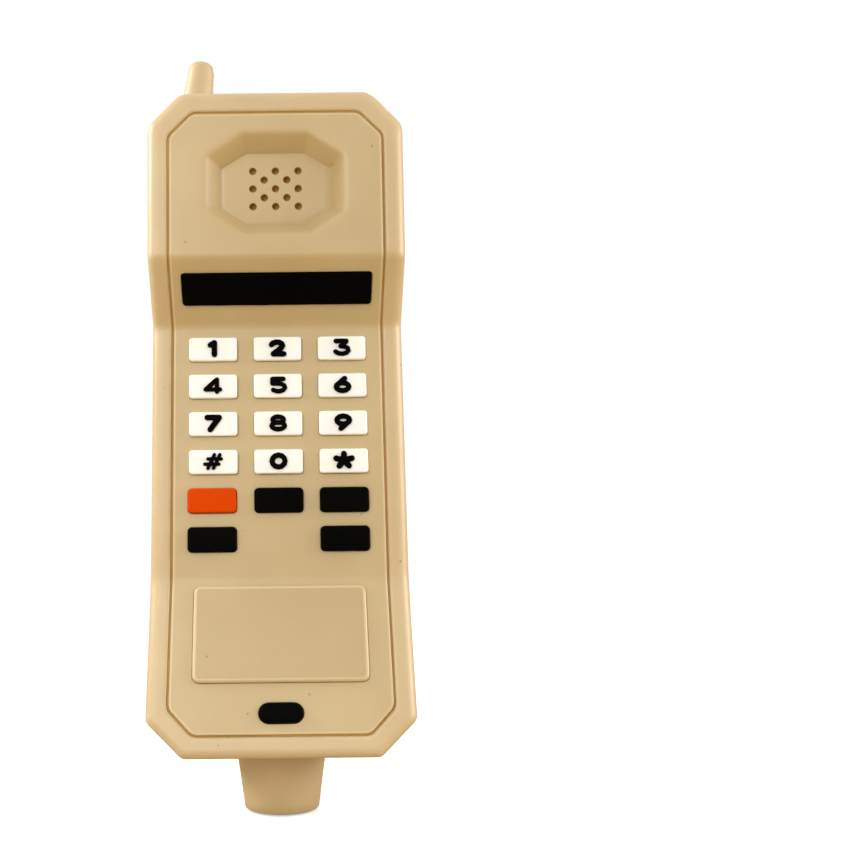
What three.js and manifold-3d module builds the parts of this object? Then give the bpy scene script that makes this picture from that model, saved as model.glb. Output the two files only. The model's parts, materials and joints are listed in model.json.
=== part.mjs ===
// A silicone hand pipe moulded in the shape of an early mobile brick phone, standing upright.
// Millimetres. +X is to the right of someone facing the keypad, +Y runs from the keypad to the back,
// and +Z runs from the mouthpiece up to the antenna. The origin is in the middle of the grip.
import * as THREE from "three";
import { mergeVertices } from "three/addons/utils/BufferGeometryUtils.js";
import Module from "manifold-3d";

const wasm = await Module();
wasm.setup();

// ---------- handset body ----------
const BODY_WIDTH = 42;
// Side profile as [y, z]. The front is four flat faces between these folds.
const TOP_EDGE = [-13.3, 54.8];
const BROW_FOLD = [-12.9, 27.2];
const WAIST_FOLD = [-4.7, 17.4];
const CHIN_FOLD = [-7.5, -24.75];
const BOTTOM_EDGE = [-16.9, -51.5];
const FRONT_PROFILE = [TOP_EDGE, BROW_FOLD, WAIST_FOLD, CHIN_FOLD, BOTTOM_EDGE];
// The back is a leaning head, an upright grip and a slightly tucked chin.
const GRIP_BACK_Y = 12.3;
const HEAD_LEAN = THREE.MathUtils.degToRad(8);
const HEAD_BEND_Z = 18;
const BACK_TOP = [GRIP_BACK_Y - (58.3 - HEAD_BEND_Z) * Math.tan(HEAD_LEAN), 58.3];
const BACK_PROFILE = [BACK_TOP, [GRIP_BACK_Y, HEAD_BEND_Z], [GRIP_BACK_Y, -25], [11.0, -49.6]];
const TOP_CORNER = { x: 5.4, z: 5.5 };
const BOTTOM_CORNER = { x: 5.8, z: 5.3 };

// ---------- face plate and its groove ----------
const PLATE = { width: 34.7, top: 51.0, bottom: -47.85, corner: 3.8, thickness: 2.6 };
const GROOVE_WIDTH = 0.5;
const PLATE_BACK_GAP = 0.3;
const BOND = { sideGap: 0.1, depth: 0.45, height: 1.9 };

// ---------- earpiece dish in the head of the plate ----------
const EARPIECE_DOWN = 15.45;
const DISH_DEPTH = 3.2;
const DISH_RIM = { width: 22.7, height: 17.0, cutX: 5.9, cutZ: 3.95 };
const DISH_FLOOR = { width: 18.0, height: 11.9, cutX: 4.2, cutZ: 2.55 };
const DISH_WALL = 1.3;
const DISH_HOLE = { radius: 0.575, depth: 0.9, pitchX: 3.75, pitchZ: 3.0, sides: 8 };

// ---------- inserts: each stands proud of its face and is let into a pocket ----------
const INSERT_CLEARANCE = 0.15;
const POCKET_FLOOR_GAP = 0.3;
// Each corner is drawn with twice its corner steps.
const DISPLAY = {
  width: 31.2, height: 5.85, radius: 0.5, cornerSteps: 1, proud: 0.4, inset: 0.6, bevel: 0.15, down: 5.86,
};
const LOWER_PAD = {
  width: 27.6, height: 15.5, radius: 1.0, cornerSteps: 2, proud: 0.6, inset: 0.6, bevel: 0.2, down: 8.8,
};
const MIC_PAD = {
  width: 7.0, height: 3.2, radius: 1.59, cornerSteps: 3, proud: 0.75, inset: 0.7, bevel: 0.3, down: 21.2,
};

// ---------- keys ----------
const KEY_TRAVEL = 0.6;
const WHITE_KEY = {
  width: 8.0, height: 4.0, radius: 0.4, cornerSteps: 1, proud: 0.85, inset: 1.2, bevel: 0.15,
};
const PLAIN_KEY = {
  width: 7.95, height: 4.05, radius: 0.6, cornerSteps: 1, proud: 0.8, inset: 1.2, bevel: 0.2,
};
const KEY_COLUMN_PITCH = 10.7;
const KEY_ROW_PITCH = 6.33;
const FIRST_ROW_DOWN = 4.05;
const NUMBER_ROWS = [["1", "2", "3"], ["4", "5", "6"], ["7", "8", "9"], ["hash", "0", "star"]];
const PLAIN_KEYS = [
  { name: "orange_key", row: 4, column: -1.017 },
  { name: "black_key_1", row: 4, column: 0 },
  { name: "black_key_2", row: 4, column: 1 },
  { name: "black_key_3", row: 5, column: -1.017 },
  { name: "black_key_4", row: 5, column: 1 },
];

// ---------- raised characters ----------
const LEGEND = { halfWidth: 1.13, halfHeight: 1.01, thickness: 0.3, gap: 0.04, capSteps: 4 };
const RING_STEPS = 12;

// ---------- glass bowl, along the outward normal of the head's back ----------
const BOWL_Z = 34.1;
const FLANGE = { radius: 15, thickness: 2.6, proud: 0.5, edge: 0.4 };
const CUP = { ringRadius: 12.85, ringCrest: 12.0, throat: 9.6, floorRadius: 6.95, depth: 11.3, base: 2.2 };
const CUP_OUTER = { top: 10.4, bottom: 8.5, round: 1.2 };
const BOWL_HOLE = { radius: 0.825, pitch: 3.25, sides: 8 };
const BOWL_SIDES = 36;
const SOCKET = { recessRadius: 15.3, boreRadius: 10.8, seatGap: 0.3, chamber: 1.4, sides: 36 };

// ---------- airway, mouthpiece and antenna ----------
const AIRWAY = { radius: 3.5, topY: 3.3, topZ: 22, endY: -1.5, endZ: -61.6, sides: 20 };
const MOUTHPIECE = { baseRadius: 8.35, tipRadius: 6.0, topZ: -45, tipZ: -61.6, round: 0.5, sides: 32 };
const ANTENNA = { x: -14.3, y: 2.0, rootZ: 54.5, tipZ: 66.6, rootRadius: 3.15, tipRadius: 2.3, round: 1.5 };
const ANTENNA_LEAN = THREE.MathUtils.degToRad(7);
const ANTENNA_SIDES = 20;
const MOULDED_GAP = 0.08;

// ---------- materials ----------
function finish(color, roughness) {
  return new THREE.MeshStandardMaterial({ color, roughness, metalness: 0 });
}
const BEIGE = finish(0xd9bf94, 0.55);
const BLACK = finish(0x0b0b0a, 0.5);
const WHITE = finish(0xf6f5ea, 0.5);
const ORANGE = finish(0xe64e0c, 0.5);
const BROWN = finish(0xa8722e, 0.6);
const GLASS = new THREE.MeshStandardMaterial({
  color: 0xdfe9e6, roughness: 0.05, metalness: 0, transparent: true, opacity: 0.35,
});

// ---------- booleans ----------
function solidOf(geometry) {
  const bare = geometry.clone();
  bare.deleteAttribute("normal");
  bare.deleteAttribute("uv");
  const merged = mergeVertices(bare, 1e-4);
  const index = Array.from(merged.index.array);
  const triangles = [];
  for (let i = 0; i < index.length; i += 3) {
    const [a, b, c] = index.slice(i, i + 3);
    if (a !== b && b !== c && c !== a) triangles.push(a, b, c);
  }
  const mesh = new wasm.Mesh({
    numProp: 3,
    vertProperties: Float32Array.from(merged.attributes.position.array),
    triVerts: Uint32Array.from(triangles),
  });
  return new wasm.Manifold(mesh);
}

function geometryOf(solid) {
  const mesh = solid.getMesh();
  const geometry = new THREE.BufferGeometry();
  geometry.setAttribute("position", new THREE.BufferAttribute(mesh.vertProperties, 3));
  geometry.setIndex(new THREE.BufferAttribute(mesh.triVerts, 1));
  geometry.computeVertexNormals();
  return geometry;
}

function joinAll(solids) {
  return solids.reduce((whole, piece) => whole.add(piece));
}

function cutAll(solid, cutters) {
  return cutters.reduce((rest, cutter) => rest.subtract(cutter), solid);
}

// ---------- basic shapes ----------
function polygonShape(points) {
  return new THREE.Shape(points.map(([x, y]) => new THREE.Vector2(x, y)));
}

// A closed [y, z] polygon run along X, centred on x = 0.
function runAlongX(points, width) {
  const geometry = new THREE.ExtrudeGeometry(polygonShape(points), { depth: width, bevelEnabled: false });
  const axes = new THREE.Matrix4().makeBasis(
    new THREE.Vector3(0, 1, 0), new THREE.Vector3(0, 0, 1), new THREE.Vector3(1, 0, 0));
  geometry.applyMatrix4(axes);
  geometry.translate(-width / 2, 0, 0);
  return solidOf(geometry);
}

// An [x, z] shape run along Y from y = low to y = high.
function runAlongY(shape, low, high) {
  const geometry = new THREE.ExtrudeGeometry(shape, { depth: high - low, bevelEnabled: false });
  geometry.rotateX(Math.PI / 2);
  geometry.translate(0, high, 0);
  return solidOf(geometry);
}

function octagonPoints(low, high, cut) {
  const [left, bottom] = low;
  const [right, top] = high;
  return [
    [left + cut.x, bottom], [right - cut.x, bottom], [right, bottom + cut.z], [right, top - cut.z],
    [right - cut.x, top], [left + cut.x, top], [left, top - cut.z], [left, bottom + cut.z],
  ];
}

// An octagon centred on the local origin, with corners cut by cutX across and cutZ up.
function centredOctagon(size, grow = 0) {
  const x = size.width / 2 + grow;
  const z = size.height / 2 + grow;
  return octagonPoints([-x, -z], [x, z], { x: size.cutX, z: size.cutZ });
}

function roundedRectangle(width, height, radius) {
  const x = width / 2;
  const y = height / 2;
  const shape = new THREE.Shape();
  shape.moveTo(-x + radius, -y);
  shape.lineTo(x - radius, -y);
  shape.absarc(x - radius, -y + radius, radius, -Math.PI / 2, 0);
  shape.lineTo(x, y - radius);
  shape.absarc(x - radius, y - radius, radius, 0, Math.PI / 2);
  shape.lineTo(-x + radius, y);
  shape.absarc(-x + radius, y - radius, radius, Math.PI / 2, Math.PI);
  shape.lineTo(-x, -y + radius);
  shape.absarc(-x + radius, -y + radius, radius, Math.PI, Math.PI * 1.5);
  return shape;
}

// Closed solid through loops of equal length, each { points, z }, from the lowest z to the highest.
function loft(loops) {
  const count = loops[0].points.length;
  const positions = loops.flatMap(({ points, z }) => points.flatMap(([x, y]) => [x, y, z]));
  const triangles = [];
  for (let level = 0; level + 1 < loops.length; level += 1) {
    for (let i = 0; i < count; i += 1) {
      const a = level * count + i;
      const b = level * count + ((i + 1) % count);
      triangles.push(a, b, b + count, a, b + count, a + count);
    }
  }
  const top = (loops.length - 1) * count;
  for (let i = 1; i + 1 < count; i += 1) {
    triangles.push(0, i + 1, i);
    triangles.push(top, top + i, top + i + 1);
  }
  const geometry = new THREE.BufferGeometry();
  geometry.setAttribute("position", new THREE.Float32BufferAttribute(positions, 3));
  geometry.setIndex(triangles);
  return solidOf(geometry);
}

// A cylinder on the local Z axis from z = low to z = high.
function rod(radius, low, high, sides, x = 0, y = 0) {
  const geometry = new THREE.CylinderGeometry(radius, radius, high - low, sides);
  geometry.rotateX(Math.PI / 2);
  geometry.translate(x, y, (low + high) / 2);
  return solidOf(geometry);
}

// A [radius, z] outline turned round the local Z axis.
function turned(outline, sides) {
  const points = outline.map(([radius, z]) => new THREE.Vector2(radius, z));
  const geometry = new THREE.LatheGeometry(points, sides);
  geometry.rotateX(Math.PI / 2);
  return solidOf(geometry);
}

function arcPoints(centre, radii, fromDegrees, toDegrees, steps) {
  const points = [];
  for (let i = 0; i <= steps; i += 1) {
    const angle = THREE.MathUtils.degToRad(fromDegrees + ((toDegrees - fromDegrees) * i) / steps);
    points.push([centre[0] + radii[0] * Math.cos(angle), centre[1] + radii[1] * Math.sin(angle)]);
  }
  return points;
}

// ---------- places on the front faces ----------
// Local X runs to the right, local Y up the face, and local Z out of it.
function faceFrame(upper, lower, down) {
  const up = new THREE.Vector3(0, upper[0] - lower[0], upper[1] - lower[1]).normalize();
  const right = new THREE.Vector3(1, 0, 0);
  const out = new THREE.Vector3().crossVectors(right, up);
  const place = new THREE.Vector3(0, upper[0], upper[1]).addScaledVector(up, -down);
  return new THREE.Matrix4().makeBasis(right, up, out).setPosition(place);
}

function offsetFrame(frame, x, y, z = 0) {
  return frame.clone().multiply(new THREE.Matrix4().makeTranslation(x, y, z));
}

function placed(solid, matrix) {
  return solid.transform(matrix.toArray());
}

const EARPIECE_FRAME = faceFrame(TOP_EDGE, BROW_FOLD, EARPIECE_DOWN);
const DISPLAY_FRAME = faceFrame(BROW_FOLD, WAIST_FOLD, DISPLAY.down);
const FIRST_KEY_FRAME = faceFrame(WAIST_FOLD, CHIN_FOLD, FIRST_ROW_DOWN);
const LOWER_PAD_FRAME = faceFrame(CHIN_FOLD, BOTTOM_EDGE, LOWER_PAD.down);
const MIC_PAD_FRAME = faceFrame(CHIN_FOLD, BOTTOM_EDGE, MIC_PAD.down);

function keyFrame(row, column) {
  return offsetFrame(FIRST_KEY_FRAME, column * KEY_COLUMN_PITCH, -row * KEY_ROW_PITCH);
}

// Local Z runs out of the head's back along the bowl's axis.
function bowlFrame() {
  const out = new THREE.Vector3(0, Math.cos(HEAD_LEAN), Math.sin(HEAD_LEAN));
  const up = new THREE.Vector3(0, -Math.sin(HEAD_LEAN), Math.cos(HEAD_LEAN));
  const right = new THREE.Vector3().crossVectors(up, out);
  const y = GRIP_BACK_Y - (BOWL_Z - HEAD_BEND_Z) * Math.tan(HEAD_LEAN);
  return new THREE.Matrix4().makeBasis(right, up, out).setPosition(0, y, BOWL_Z);
}

// ---------- body blank, slabs and outlines ----------
// A tall octagonal prism whose end face slopes with the body's, so its cut corners do too.
function cornerPrism(edge, otherEdge, corner, upward) {
  const far = upward ? -200 : 200;
  const x = BODY_WIDTH / 2;
  const z = edge[1];
  const cutZ = upward ? z - corner.z : z + corner.z;
  const points = [[-x, far], [x, far], [x, cutZ], [x - corner.x, z], [-x + corner.x, z], [-x, cutZ]];
  const slope = (otherEdge[1] - edge[1]) / (otherEdge[0] - edge[0]);
  const shear = new THREE.Matrix4().makeShear(0, 0, 0, slope, 0, 0);
  const shift = new THREE.Matrix4().makeTranslation(0, 0, -slope * edge[0]);
  const shape = polygonShape(upward ? points : points.slice().reverse());
  return placed(runAlongY(shape, -60, 60), shift.multiply(shear));
}

function bodyBlank() {
  const outline = [...FRONT_PROFILE, ...BACK_PROFILE.slice().reverse()];
  const block = runAlongX(outline, BODY_WIDTH);
  const topPrism = cornerPrism(TOP_EDGE, BACK_TOP, TOP_CORNER, true);
  const bottomPrism = cornerPrism(BOTTOM_EDGE, BACK_PROFILE[BACK_PROFILE.length - 1], BOTTOM_CORNER, false);
  return block.intersect(topPrism).intersect(bottomPrism);
}

// The layer between two depths under the front surface, measured along Y.
function frontLayer(near, far) {
  const nearSide = FRONT_PROFILE.map(([y, z]) => [y + near, z]);
  const farSide = FRONT_PROFILE.map(([y, z]) => [y + far, z]);
  return runAlongX([...nearSide, ...farSide.reverse()], BODY_WIDTH * 2);
}

function plateOutline(grow) {
  const x = PLATE.width / 2 + grow;
  const cut = PLATE.corner + (2 - Math.SQRT2) * grow;
  const low = [-x, PLATE.bottom - grow];
  const high = [x, PLATE.top + grow];
  return octagonPoints(low, high, { x: cut, z: cut });
}

function plateColumn(grow) {
  return runAlongY(polygonShape(plateOutline(grow)), -60, 60);
}

// ---------- shell ----------
function dishBoss(grow, depthGrow) {
  const points = centredOctagon(DISH_RIM, DISH_WALL + grow);
  const deep = -(DISH_DEPTH + DISH_WALL + depthGrow);
  const boss = loft([{ points, z: deep }, { points, z: -1 }]);
  return placed(boss, EARPIECE_FRAME);
}

function bowlSocket() {
  const seat = -(FLANGE.thickness - FLANGE.proud + SOCKET.seatGap);
  const floor = FLANGE.proud - CUP.depth - CUP.base - SOCKET.chamber;
  const recess = rod(SOCKET.recessRadius, seat, 20, SOCKET.sides);
  const bore = rod(SOCKET.boreRadius, floor, 20, SOCKET.sides);
  return placed(recess.add(bore), bowlFrame());
}

function airwayBore() {
  const top = new THREE.Vector3(0, AIRWAY.topY, AIRWAY.topZ);
  const end = new THREE.Vector3(0, AIRWAY.endY, AIRWAY.endZ);
  const out = top.clone().sub(end).normalize();
  const right = new THREE.Vector3(1, 0, 0);
  const up = new THREE.Vector3().crossVectors(out, right);
  const frame = new THREE.Matrix4().makeBasis(right, up, out).setPosition(end);
  return placed(rod(AIRWAY.radius, -5, top.distanceTo(end) + 4, AIRWAY.sides), frame);
}

function shellSolid() {
  const pocket = frontLayer(-5, PLATE.thickness + PLATE_BACK_GAP).intersect(plateColumn(GROOVE_WIDTH));
  const cutters = [pocket, dishBoss(PLATE_BACK_GAP, PLATE_BACK_GAP), bowlSocket(), airwayBore()];
  return cutAll(bodyBlank(), cutters);
}

// ---------- face plate and bond line ----------
function insertPocket(insert, travel, frame) {
  const grow = 2 * INSERT_CLEARANCE;
  const shape = roundedRectangle(insert.width + grow, insert.height + grow, insert.radius + INSERT_CLEARANCE);
  const depth = insert.inset + travel + POCKET_FLOOR_GAP;
  const options = { depth: depth + 1, bevelEnabled: false, curveSegments: insert.cornerSteps };
  const geometry = new THREE.ExtrudeGeometry(shape, options);
  geometry.translate(0, 0, -depth);
  return placed(solidOf(geometry), frame);
}

function dishHollow() {
  const rim = centredOctagon(DISH_RIM);
  const floor = centredOctagon(DISH_FLOOR);
  const levels = [{ points: floor, z: -DISH_DEPTH }, { points: rim, z: 0 }, { points: rim, z: 1 }];
  return placed(loft(levels), EARPIECE_FRAME);
}

// Three rows of three small blind holes, with a row of two between each pair of rows.
function dishHoles() {
  const holes = [];
  for (let row = -2; row <= 2; row += 1) {
    const columns = row % 2 === 0 ? [-1, 0, 1] : [-0.5, 0.5];
    for (const column of columns) {
      const x = column * DISH_HOLE.pitchX;
      const y = (row * DISH_HOLE.pitchZ) / 2;
      const bottom = -DISH_DEPTH - DISH_HOLE.depth;
      holes.push(rod(DISH_HOLE.radius, bottom, -DISH_DEPTH + 1, DISH_HOLE.sides, x, y));
    }
  }
  return holes.map((hole) => placed(hole, EARPIECE_FRAME));
}

function plateSolid() {
  const sheet = frontLayer(0, PLATE.thickness).intersect(plateColumn(0));
  const pockets = [
    insertPocket(DISPLAY, 0, DISPLAY_FRAME),
    insertPocket(LOWER_PAD, 0, LOWER_PAD_FRAME),
    insertPocket(MIC_PAD, 0, MIC_PAD_FRAME),
  ];
  NUMBER_ROWS.forEach((names, row) => {
    names.forEach((name, i) => pockets.push(insertPocket(WHITE_KEY, KEY_TRAVEL, keyFrame(row, i - 1))));
  });
  for (const key of PLAIN_KEYS) {
    pockets.push(insertPocket(PLAIN_KEY, KEY_TRAVEL, keyFrame(key.row, key.column)));
  }
  return cutAll(sheet.add(dishBoss(0, 0)), [dishHollow(), ...dishHoles(), ...pockets]);
}

function bondSolid() {
  const layer = frontLayer(BOND.depth, BOND.depth + BOND.height);
  const outer = plateColumn(GROOVE_WIDTH - BOND.sideGap);
  return layer.intersect(outer).subtract(plateColumn(BOND.sideGap));
}

// ---------- inserts and keys, each in its own local frame ----------
function insertGeometry(insert) {
  const { width, height, radius, bevel } = insert;
  const shape = roundedRectangle(width - 2 * bevel, height - 2 * bevel, radius - bevel);
  const options = {
    depth: insert.proud + insert.inset - 2 * bevel,
    bevelSize: bevel,
    bevelThickness: bevel,
    bevelSegments: 1,
    curveSegments: insert.cornerSteps,
  };
  const geometry = new THREE.ExtrudeGeometry(shape, options);
  geometry.translate(0, 0, bevel - insert.inset);
  return geometryOf(solidOf(geometry));
}

function extrudedCharacter(shape) {
  return solidOf(new THREE.ExtrudeGeometry(shape, { depth: LEGEND.thickness, bevelEnabled: false }));
}

// The direction of a line of points at one of them, as an angle.
function directionAt(points, i) {
  const before = points[Math.max(i - 1, 0)];
  const after = points[Math.min(i + 1, points.length - 1)];
  return Math.atan2(after[1] - before[1], after[0] - before[0]);
}

// A stroke with round ends along a gently turning line of points.
function strokeSolid(points, width) {
  const radius = width / 2;
  const right = [];
  const left = [];
  points.forEach(([x, y], i) => {
    const angle = directionAt(points, i);
    right.push([x + radius * Math.sin(angle), y - radius * Math.cos(angle)]);
    left.unshift([x - radius * Math.sin(angle), y + radius * Math.cos(angle)]);
  });
  const last = points.length - 1;
  const endTurn = THREE.MathUtils.radToDeg(directionAt(points, last));
  const startTurn = THREE.MathUtils.radToDeg(directionAt(points, 0));
  const radii = [radius, radius];
  const endCap = arcPoints(points[last], radii, endTurn - 90, endTurn + 90, LEGEND.capSteps).slice(1, -1);
  const startCap = arcPoints(points[0], radii, startTurn + 90, startTurn + 270, LEGEND.capSteps).slice(1, -1);
  return extrudedCharacter(polygonShape([...right, ...endCap, ...left, ...startCap]));
}

// An oval ring, given by the half-sizes of its centre line.
function ringSolid(centre, radii, width) {
  const grown = (change) => radii.map((radius) => radius + change);
  const loop = (change) => arcPoints(centre, grown(change), 0, 360, RING_STEPS).slice(0, -1);
  const shape = polygonShape(loop(width / 2));
  shape.holes.push(polygonShape(loop(-width / 2)));
  return extrudedCharacter(shape);
}

// Centre lines of the characters, in a square from -1 to 1, with a stroke width in millimetres.
// A line turns gently, so a sharp corner starts a new line. A ring is [centre, half-sizes].
const STAR_ANGLES = [90, 162, 234, 306, 18];
const starTip = (angle) => arcPoints([0, 0], [1.2, 1.1], angle, angle, 1)[0];
const CHARACTERS = {
  1: { stroke: 0.86, lines: [[[-0.42, 0.6], [0.2, 1]], [[0.2, 1], [0.2, -1]]] },
  2: {
    stroke: 0.86,
    lines: [
      [...arcPoints([-0.05, 0.42], [0.85, 0.58], 165, -35, 6), [-0.6, -1]],
      [[-0.6, -1], [0.95, -1]],
    ],
  },
  3: {
    stroke: 0.72,
    lines: [
      [[-0.85, 1.07], [0.72, 1.07]],
      [[0.72, 1.07], [0, 0.24]],
      arcPoints([0, -0.44], [1.02, 0.65], 100, -155, 7),
    ],
  },
  4: {
    stroke: 0.66,
    lines: [[[0.57, -1], [0.57, 1.08]], [[0.57, 1.08], [-1.1, -0.6]], [[-1.1, -0.6], [1.05, -0.6]]],
  },
  5: {
    stroke: 0.7,
    lines: [
      [[0.85, 1.06], [-0.78, 1.06]],
      [[-0.78, 1.06], [-0.78, 0.3]],
      [[-0.78, 0.3], ...arcPoints([0.08, -0.36], [1, 0.66], 95, -140, 7)],
    ],
  },
  6: { stroke: 0.82, lines: [[[0.35, 1.03], [-0.8, -0.1]]], rings: [[[0, -0.36], [0.93, 0.66]]] },
  7: { stroke: 0.88, lines: [[[-0.85, 1], [0.9, 1]], [[0.9, 1], [-0.42, -1]]] },
  8: { stroke: 0.74, lines: [], rings: [[[0, 0.54], [0.82, 0.49]], [[0, -0.47], [0.96, 0.57]]] },
  9: { stroke: 0.82, lines: [[[-0.35, -1.03], [0.8, 0.1]]], rings: [[[0, 0.36], [0.93, 0.66]]] },
  0: { stroke: 0.82, lines: [], rings: [[[0, 0], [0.94, 0.98]]] },
  hash: {
    stroke: 0.5,
    lines: [
      [[-0.75, -1.1], [0.2, 1.15]],
      [[0.05, -1.1], [1, 1.15]],
      [[-0.75, 0.45], [1.2, 0.45]],
      [[-1.2, -0.4], [0.85, -0.4]],
    ],
  },
  star: { stroke: 0.92, lines: STAR_ANGLES.map((angle) => [[0, 0], starTip(angle)]) },
};

function legendGeometry(name) {
  const { stroke, lines, rings = [] } = CHARACTERS[name];
  const sized = ([x, y]) => [x * LEGEND.halfWidth, y * LEGEND.halfHeight];
  const strokes = lines.map((line) => strokeSolid(line.map(sized), stroke));
  const ovals = rings.map(([centre, radii]) => ringSolid(sized(centre), sized(radii), stroke));
  return geometryOf(joinAll([...strokes, ...ovals]));
}

// ---------- glass bowl, in its own local frame ----------
function bowlGeometry() {
  const top = FLANGE.proud;
  const underside = top - FLANGE.thickness;
  const floor = top - CUP.depth;
  const base = floor - CUP.base;
  const outline = [
    [0, base],
    [CUP_OUTER.bottom - CUP_OUTER.round, base],
    [CUP_OUTER.bottom, base + CUP_OUTER.round],
    [CUP_OUTER.top, underside - 0.6],
    [CUP_OUTER.top + 0.5, underside],
    [FLANGE.radius - FLANGE.edge, underside],
    [FLANGE.radius, underside + FLANGE.edge],
    [FLANGE.radius, top - FLANGE.edge],
    [FLANGE.radius - FLANGE.edge, top],
    [CUP.ringRadius, top],
    [CUP.ringCrest, top - 0.25],
    [CUP.throat + 0.8, top - 1.6],
    [CUP.throat, top - 3.2],
    [CUP.floorRadius + 0.9, floor + 0.8],
    [CUP.floorRadius, floor],
    [0, floor],
  ];
  const holes = [];
  for (const column of [-1, 0, 1]) {
    for (const row of [-1, 0, 1]) {
      const x = column * BOWL_HOLE.pitch;
      const y = row * BOWL_HOLE.pitch;
      holes.push(rod(BOWL_HOLE.radius, base - 1, floor + 1, BOWL_HOLE.sides, x, y));
    }
  }
  return geometryOf(cutAll(turned(outline, BOWL_SIDES), holes));
}

// ---------- mouthpiece and antenna, trimmed to meet the shell ----------
function mouthpieceGeometry() {
  const { baseRadius, tipRadius, topZ, tipZ, round } = MOUTHPIECE;
  const shoulder = tipZ + round;
  const rounding = arcPoints([tipRadius - round, shoulder], [round, round], -90, 0, 3);
  const cone = turned([[0, tipZ], ...rounding, [baseRadius, topZ], [0, topZ]], MOUTHPIECE.sides);
  const centred = cone.translate([0, AIRWAY.endY, 0]);
  const trim = bodyBlank().translate([0, 0, -MOULDED_GAP]);
  return geometryOf(centred.subtract(trim).subtract(airwayBore()));
}

function antennaGeometry() {
  const { rootZ, tipZ, rootRadius, tipRadius, round } = ANTENNA;
  const length = tipZ - rootZ;
  const rounding = arcPoints([tipRadius - round, length - round], [round, round], 0, 90, 4);
  const stub = turned([[0, 0], [rootRadius, 0], ...rounding, [0, length]], ANTENNA_SIDES);
  const lean = new THREE.Matrix4().makeRotationY(ANTENNA_LEAN);
  const standing = placed(stub, lean.setPosition(ANTENNA.x, ANTENNA.y, rootZ));
  const trim = bodyBlank().translate([0, 0, MOULDED_GAP]);
  return geometryOf(standing.subtract(trim));
}

// ---------- assembly ----------
const handset = new THREE.Group();

function addPiece(parent, name, geometry, material, frame = new THREE.Matrix4()) {
  const mesh = new THREE.Mesh(geometry, material);
  mesh.name = name;
  mesh.applyMatrix4(frame);
  parent.add(mesh);
}

function addNumberKey(name, row, column) {
  const group = new THREE.Group();
  const lift = new THREE.Matrix4().makeTranslation(0, 0, WHITE_KEY.proud + LEGEND.gap);
  group.applyMatrix4(keyFrame(row, column));
  addPiece(group, `key_${name}`, insertGeometry(WHITE_KEY), WHITE);
  addPiece(group, `legend_${name}`, legendGeometry(name), BLACK, lift);
  handset.add(group);
}

addPiece(handset, "shell", geometryOf(shellSolid()), BEIGE);
addPiece(handset, "mouthpiece", mouthpieceGeometry(), BEIGE);
addPiece(handset, "antenna_stub", antennaGeometry(), BEIGE);
addPiece(handset, "face_plate", geometryOf(plateSolid()), BEIGE);
addPiece(handset, "bond_line", geometryOf(bondSolid()), BROWN);
addPiece(handset, "display_strip", insertGeometry(DISPLAY), BLACK, DISPLAY_FRAME);
addPiece(handset, "lower_pad", insertGeometry(LOWER_PAD), BEIGE, LOWER_PAD_FRAME);
addPiece(handset, "mic_pad", insertGeometry(MIC_PAD), BLACK, MIC_PAD_FRAME);
NUMBER_ROWS.forEach((names, row) => names.forEach((name, i) => addNumberKey(name, row, i - 1)));
for (const key of PLAIN_KEYS) {
  const material = key.name === "orange_key" ? ORANGE : BLACK;
  addPiece(handset, key.name, insertGeometry(PLAIN_KEY), material, keyFrame(key.row, key.column));
}
addPiece(handset, "glass_bowl", bowlGeometry(), GLASS, bowlFrame());

export default handset;
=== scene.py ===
"""Looks of a silicone hand pipe moulded in the shape of an early mobile brick phone.

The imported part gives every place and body. Each visible piece is built here as a fine mesh with soft
edges. Lengths below are millimetres in the row frame and become metres when a mesh is made."""
import json
import math

import bmesh
import bpy
import numpy as np
from mathutils import Matrix, Vector, geometry, kdtree, noise


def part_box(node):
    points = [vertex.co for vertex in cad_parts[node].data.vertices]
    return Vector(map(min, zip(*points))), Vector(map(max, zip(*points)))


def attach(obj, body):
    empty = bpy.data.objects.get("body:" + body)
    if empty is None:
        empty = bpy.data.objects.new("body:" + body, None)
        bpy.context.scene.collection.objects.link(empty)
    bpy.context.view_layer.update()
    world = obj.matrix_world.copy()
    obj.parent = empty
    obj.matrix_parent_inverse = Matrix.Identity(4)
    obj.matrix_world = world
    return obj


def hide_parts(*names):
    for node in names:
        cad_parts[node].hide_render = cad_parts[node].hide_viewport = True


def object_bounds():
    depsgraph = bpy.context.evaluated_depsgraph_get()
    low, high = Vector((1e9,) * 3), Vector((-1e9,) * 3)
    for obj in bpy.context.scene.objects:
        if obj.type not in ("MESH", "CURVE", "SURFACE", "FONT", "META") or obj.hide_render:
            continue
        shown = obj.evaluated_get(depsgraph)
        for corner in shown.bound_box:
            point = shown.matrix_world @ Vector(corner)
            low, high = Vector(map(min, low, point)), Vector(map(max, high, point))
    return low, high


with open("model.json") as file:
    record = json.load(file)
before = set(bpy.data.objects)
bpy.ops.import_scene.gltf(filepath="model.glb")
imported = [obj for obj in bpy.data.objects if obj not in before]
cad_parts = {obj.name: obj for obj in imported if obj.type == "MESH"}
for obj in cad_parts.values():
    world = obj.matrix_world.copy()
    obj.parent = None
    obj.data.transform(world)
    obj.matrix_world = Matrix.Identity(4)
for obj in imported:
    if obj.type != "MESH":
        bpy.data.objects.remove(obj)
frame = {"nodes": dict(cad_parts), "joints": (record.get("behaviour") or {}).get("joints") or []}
cad_low, cad_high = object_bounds()

MM = 0.001

# ---------- handset body ----------
BODY_WIDTH = 42.0
BODY_TOP, BODY_BOTTOM = 54.8, -51.5
TOP_CORNER, BOTTOM_CORNER = (5.4, 5.5), (5.8, 5.3)
BROW_Z, WAIST_Z, CHIN_Z = 27.2, 17.4, -24.75
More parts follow.
